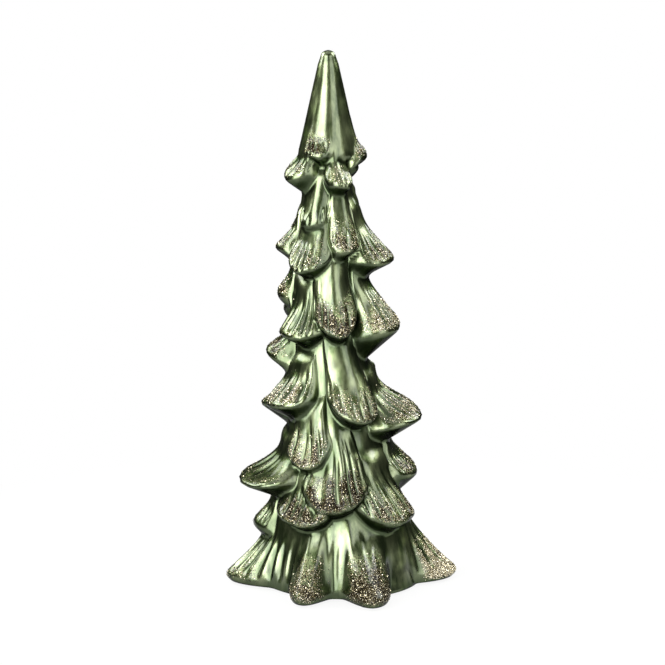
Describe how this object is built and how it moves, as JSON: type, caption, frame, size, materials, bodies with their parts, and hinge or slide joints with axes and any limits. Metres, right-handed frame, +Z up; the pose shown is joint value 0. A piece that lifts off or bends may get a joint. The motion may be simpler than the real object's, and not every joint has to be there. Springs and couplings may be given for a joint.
{
  "type": "decorative fir tree",
  "caption": "Table-top fir tree of hollow blown glass, silvered and lacquered green, with tiers of drooping boughs whose tips carry glitter, on a flared star-shaped foot.",
  "frame": {"origin": "middle of the tree's bounding box, on the surface that it stands on", "axes": "+Z up to the tip of the spire, -Y towards the viewer of the picture, +X to the viewer's right"},
  "size_m": [0.1308, 0.129, 0.3],
  "materials": {
    "lacquered_glass": "blown glass, silvered inside, with a clear green lacquer; glossy and opaque",
    "glitter": "champagne polyester glitter in clear glue; coarse and sparkling",
    "stopper_silicone": "translucent white silicone, matt",
    "bumper_clear": "clear soft polyurethane, smooth"
  },
  "bodies": {
    "root": {"glass_shell": "lacquered_glass", "glitter_crown_1": "glitter", "glitter_crown_2": "glitter", "glitter_crown_3": "glitter", "glitter_crown_4": "glitter", "glitter_crown_5": "glitter", "glitter_crown_6": "glitter", "glitter_crown_7": "glitter", "glitter_fifth_1": "glitter", "glitter_fifth_2": "glitter", "glitter_fifth_3": "glitter", "glitter_fifth_4": "glitter", "glitter_fifth_5": "glitter", "glitter_fifth_6": "glitter", "glitter_fifth_7": "glitter", "glitter_foot_1": "glitter", "glitter_foot_2": "glitter", "glitter_foot_3": "glitter", "glitter_foot_4": "glitter", "glitter_foot_5": "glitter", "glitter_foot_6": "glitter", "glitter_foot_7": "glitter", "glitter_fourth_1": "glitter", "glitter_fourth_2": "glitter", "glitter_fourth_3": "glitter", "glitter_fourth_4": "glitter", "glitter_fourth_5": "glitter", "glitter_fourth_6": "glitter", "glitter_fourth_7": "glitter", "glitter_fourth_8": "glitter", "glitter_second_1": "glitter", "glitter_second_2": "glitter", "glitter_second_3": "glitter", "glitter_second_4": "glitter", "glitter_second_5": "glitter", "glitter_second_6": "glitter", "glitter_second_7": "glitter", "glitter_sixth_1": "glitter", "glitter_sixth_2": "glitter", "glitter_sixth_3": "glitter", "glitter_sixth_4": "glitter", "glitter_sixth_5": "glitter", "glitter_sixth_6": "glitter", "glitter_sixth_7": "glitter", "glitter_third_1": "glitter", "glitter_third_2": "glitter", "glitter_third_3": "glitter", "glitter_third_4": "glitter", "glitter_third_5": "glitter", "glitter_third_6": "glitter", "glitter_third_7": "glitter", "stopper": "stopper_silicone", "bumper_1": "bumper_clear", "bumper_2": "bumper_clear", "bumper_3": "bumper_clear", "bumper_4": "bumper_clear"}
  },
  "joints": []
}
